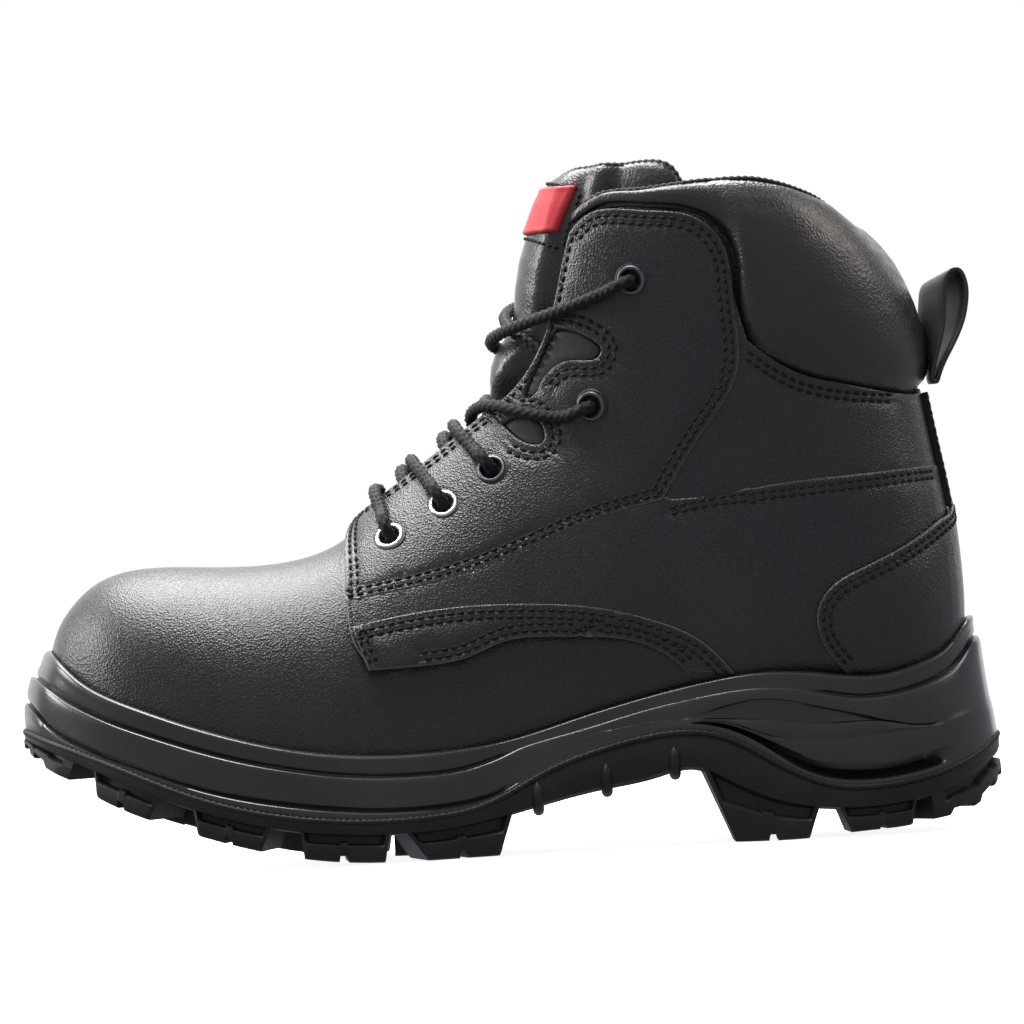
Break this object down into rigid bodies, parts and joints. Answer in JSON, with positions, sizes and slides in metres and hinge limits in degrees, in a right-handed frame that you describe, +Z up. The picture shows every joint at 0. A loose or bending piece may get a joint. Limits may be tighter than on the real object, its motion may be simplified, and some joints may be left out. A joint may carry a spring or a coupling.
{
  "type": "steel toe work boot",
  "caption": "Lace-up ankle-height safety work boot with a steel toe cap, padded collar and tongue, heel pull loop and deep-cleated sole.",
  "frame": {"origin": "on the floor, under the middle of the sole's length and width", "axes": "+X from toe to heel, +Y from the outer (lateral) side to the inner (medial) side, +Z up; a left boot"},
  "size_m": [0.304, 0.1083, 0.211],
  "materials": {
    "outsole": "satin black moulded rubber with deep cleats",
    "midsole": "satin black polyurethane with raised bead lines",
    "leather": "black fine-grained leather, semi-matt",
    "soft_leather": "soft padded black leather with fine creases",
    "label": "plain red rubberised label, no print",
    "eyelet": "gunmetal eyelet with a rolled rim",
    "lace": "round braided black polyester",
    "aglet": "black lace tip",
    "steel": "pressed steel, hidden inside",
    "edging": "soft rubber edging strip",
    "board": "fibre board",
    "footbed": "cloth-covered foam",
    "lining": "black mesh lining cloth"
  },
  "bodies": {
    "boot": {"aglet_1": "aglet", "aglet_2": "aglet", "ankle_panel_lateral": "leather", "ankle_panel_medial": "leather", "back_strip": "leather", "collar": "soft_leather", "eyelet_lateral_1": "eyelet", "eyelet_lateral_2": "eyelet", "eyelet_lateral_3": "eyelet", "eyelet_lateral_4": "eyelet", "eyelet_lateral_5": "eyelet", "eyelet_medial_1": "eyelet", "eyelet_medial_2": "eyelet", "eyelet_medial_3": "eyelet", "eyelet_medial_4": "eyelet", "eyelet_medial_5": "eyelet", "eyestay_lateral": "leather", "eyestay_medial": "leather", "flex_inlay_lower_lateral": "soft_leather", "flex_inlay_lower_medial": "soft_leather", "flex_inlay_upper_lateral": "soft_leather", "flex_inlay_upper_medial": "soft_leather", "heel_counter": "board", "heel_patch": "leather", "insole_board": "board", "lace": "lace", "midsole": "midsole", "outsole": "outsole", "puncture_plate": "steel", "quarter_lateral": "leather", "quarter_medial": "leather", "shaft_lining": "lining", "shank": "steel", "side_band_lateral": "leather", "side_band_medial": "leather", "toe_cap": "steel", "toe_cap_edging": "edging", "vamp": "leather", "vamp_lining": "lining"},
    "tongue": {"tongue": "soft_leather", "tongue_label": "label"},
    "pull_loop": {"pull_loop": "leather"},
    "footbed": {"footbed": "footbed"}
  },
  "joints": [
    {"name": "tongue_hinge", "type": "hinge", "parent": "boot", "child": "tongue", "pos_m": [-0.046, 0, 0.095], "axis": [0, 1, 0], "range_deg": [0, 6]},
    {"name": "pull_loop_hinge", "type": "hinge", "parent": "boot", "child": "pull_loop", "pos_m": [0.1372, 0.00285, 0.1376], "axis": [0, 1, 0], "range_deg": [0, 45]},
    {"name": "footbed_lift", "type": "hinge", "parent": "boot", "child": "footbed", "pos_m": [-0.122, 0, 0.0515], "axis": [0, -1, 0], "range_deg": [0, 4]}
  ]
}
